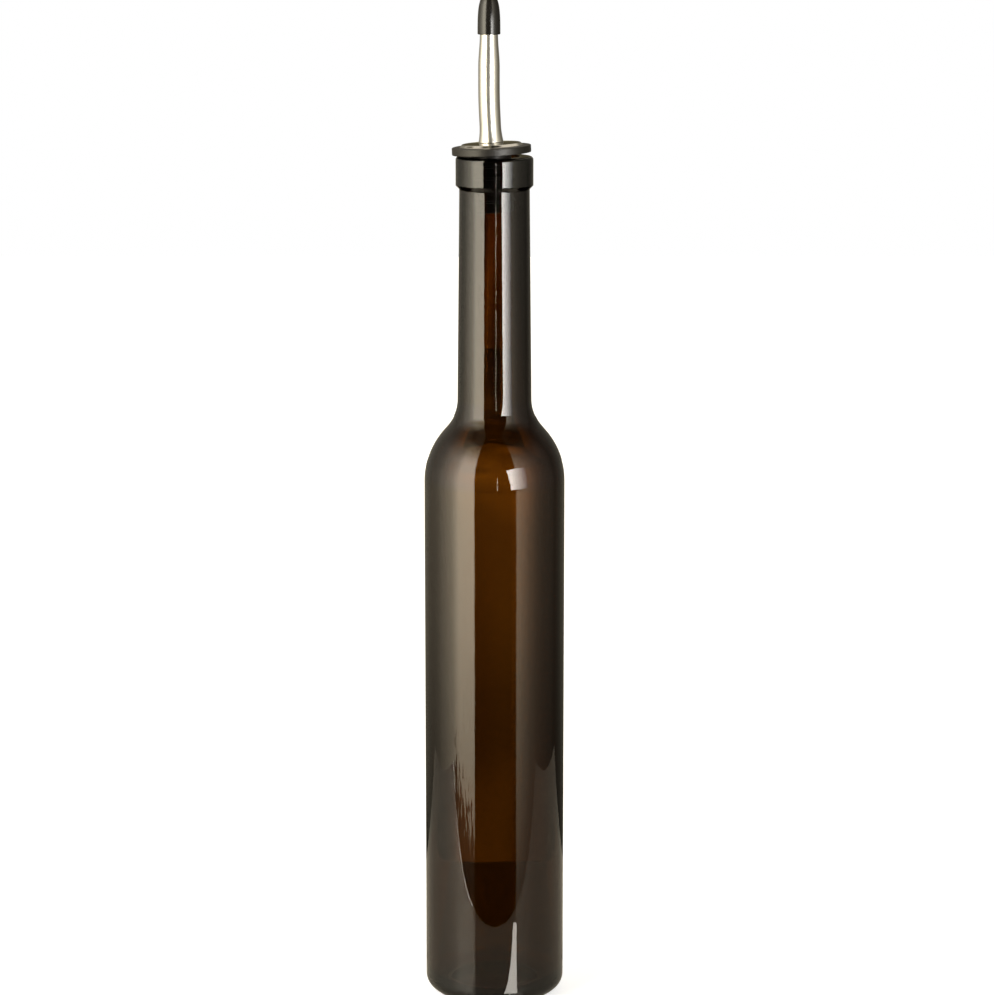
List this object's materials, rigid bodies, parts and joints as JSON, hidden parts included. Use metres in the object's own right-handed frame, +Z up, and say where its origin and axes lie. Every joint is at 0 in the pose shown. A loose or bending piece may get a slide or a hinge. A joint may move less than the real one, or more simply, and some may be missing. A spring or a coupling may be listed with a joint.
{
  "type": "oil bottle",
  "caption": "Tall empty bottle of dark amber glass with a banded lip; a ribbed black stopper carries a steel pouring tube under a black rubber tip cap.",
  "frame": {"origin": "centre of the ring that the bottle stands on, at floor level", "axes": "+Z up along the bottle's axis, -Y towards the front, +X to the right; the pourer leans to -X"},
  "size_m": [0.054, 0.054, 0.3896],
  "materials": {
    "glass": "clear dark amber",
    "stopper_plastic": "black, satin",
    "steel": "polished",
    "cap_rubber": "black, satin"
  },
  "bodies": {
    "root": {"bottle": "glass", "stopper": "stopper_plastic", "disc": "steel", "spout": "steel", "tip_cap": "cap_rubber"}
  },
  "joints": []
}
